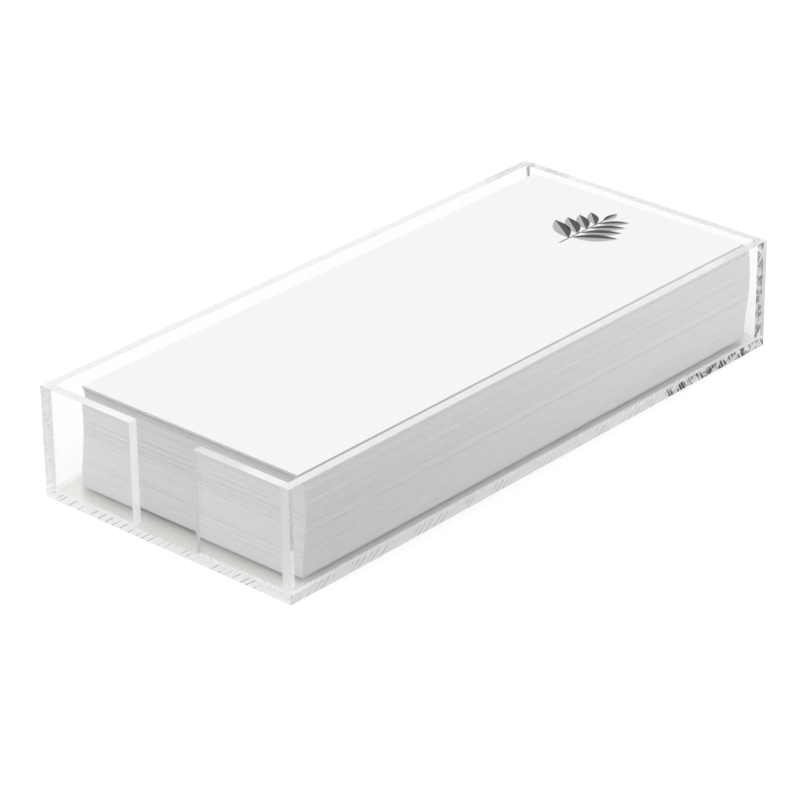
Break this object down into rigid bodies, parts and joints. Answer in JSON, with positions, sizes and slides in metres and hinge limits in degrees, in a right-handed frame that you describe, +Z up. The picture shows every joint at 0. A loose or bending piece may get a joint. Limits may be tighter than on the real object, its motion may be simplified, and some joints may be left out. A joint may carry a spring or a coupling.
{
  "type": "memo tray",
  "caption": "Clear acrylic desk tray with a thumb gap in its front end, holding a loose stack of long white memo sheets that lift straight out.",
  "frame": {"origin": "middle of the underside of the base plate, on the surface it stands on", "axes": "+Y along the tray from the thumb gap to the back wall, +X to the right seen from the thumb gap, +Z up"},
  "size_m": [0.103, 0.2286, 0.0381],
  "materials": {
    "acrylic": "clear, polished faces and bright cut edges",
    "paper": "smooth uncoated white"
  },
  "bodies": {
    "tray": {"base_plate": "acrylic", "left_side_wall": "acrylic", "right_side_wall": "acrylic", "back_wall": "acrylic", "front_panel_left": "acrylic", "front_panel_right": "acrylic"},
    "bundle_01": {"sheet_bundle_01": "paper"},
    "bundle_02": {"sheet_bundle_02": "paper"},
    "bundle_03": {"sheet_bundle_03": "paper"},
    "bundle_04": {"sheet_bundle_04": "paper"},
    "bundle_05": {"sheet_bundle_05": "paper"},
    "bundle_06": {"sheet_bundle_06": "paper"},
    "bundle_07": {"sheet_bundle_07": "paper"},
    "bundle_08": {"sheet_bundle_08": "paper"},
    "bundle_09": {"sheet_bundle_09": "paper"},
    "bundle_10": {"sheet_bundle_10": "paper"},
    "bundle_11": {"sheet_bundle_11": "paper"},
    "bundle_12": {"sheet_bundle_12": "paper"},
    "bundle_13": {"sheet_bundle_13": "paper"},
    "top_sheet": {"top_sheet": "paper"}
  },
  "joints": [
    {"name": "bundle_01_lift", "type": "slide", "parent": "tray", "child": "bundle_01", "axis": [0, 0, 1], "range_m": [0, 0.045]},
    {"name": "bundle_02_lift", "type": "slide", "parent": "bundle_01", "child": "bundle_02", "axis": [0, 0, 1], "range_m": [0, 0.045]},
    {"name": "bundle_03_lift", "type": "slide", "parent": "bundle_02", "child": "bundle_03", "axis": [0, 0, 1], "range_m": [0, 0.045]},
    {"name": "bundle_04_lift", "type": "slide", "parent": "bundle_03", "child": "bundle_04", "axis": [0, 0, 1], "range_m": [0, 0.045]},
    {"name": "bundle_05_lift", "type": "slide", "parent": "bundle_04", "child": "bundle_05", "axis": [0, 0, 1], "range_m": [0, 0.045]},
    {"name": "bundle_06_lift", "type": "slide", "parent": "bundle_05", "child": "bundle_06", "axis": [0, 0, 1], "range_m": [0, 0.045]},
    {"name": "bundle_07_lift", "type": "slide", "parent": "bundle_06", "child": "bundle_07", "axis": [0, 0, 1], "range_m": [0, 0.045]},
    {"name": "bundle_08_lift", "type": "slide", "parent": "bundle_07", "child": "bundle_08", "axis": [0, 0, 1], "range_m": [0, 0.045]},
    {"name": "bundle_09_lift", "type": "slide", "parent": "bundle_08", "child": "bundle_09", "axis": [0, 0, 1], "range_m": [0, 0.045]},
    {"name": "bundle_10_lift", "type": "slide", "parent": "bundle_09", "child": "bundle_10", "axis": [0, 0, 1], "range_m": [0, 0.045]},
    {"name": "bundle_11_lift", "type": "slide", "parent": "bundle_10", "child": "bundle_11", "axis": [0, 0, 1], "range_m": [0, 0.045]},
    {"name": "bundle_12_lift", "type": "slide", "parent": "bundle_11", "child": "bundle_12", "axis": [0, 0, 1], "range_m": [0, 0.045]},
    {"name": "bundle_13_lift", "type": "slide", "parent": "bundle_12", "child": "bundle_13", "axis": [0, 0, 1], "range_m": [0, 0.045]},
    {"name": "top_sheet_lift", "type": "slide", "parent": "bundle_13", "child": "top_sheet", "axis": [0, 0, 1], "range_m": [0, 0.045]}
  ]
}
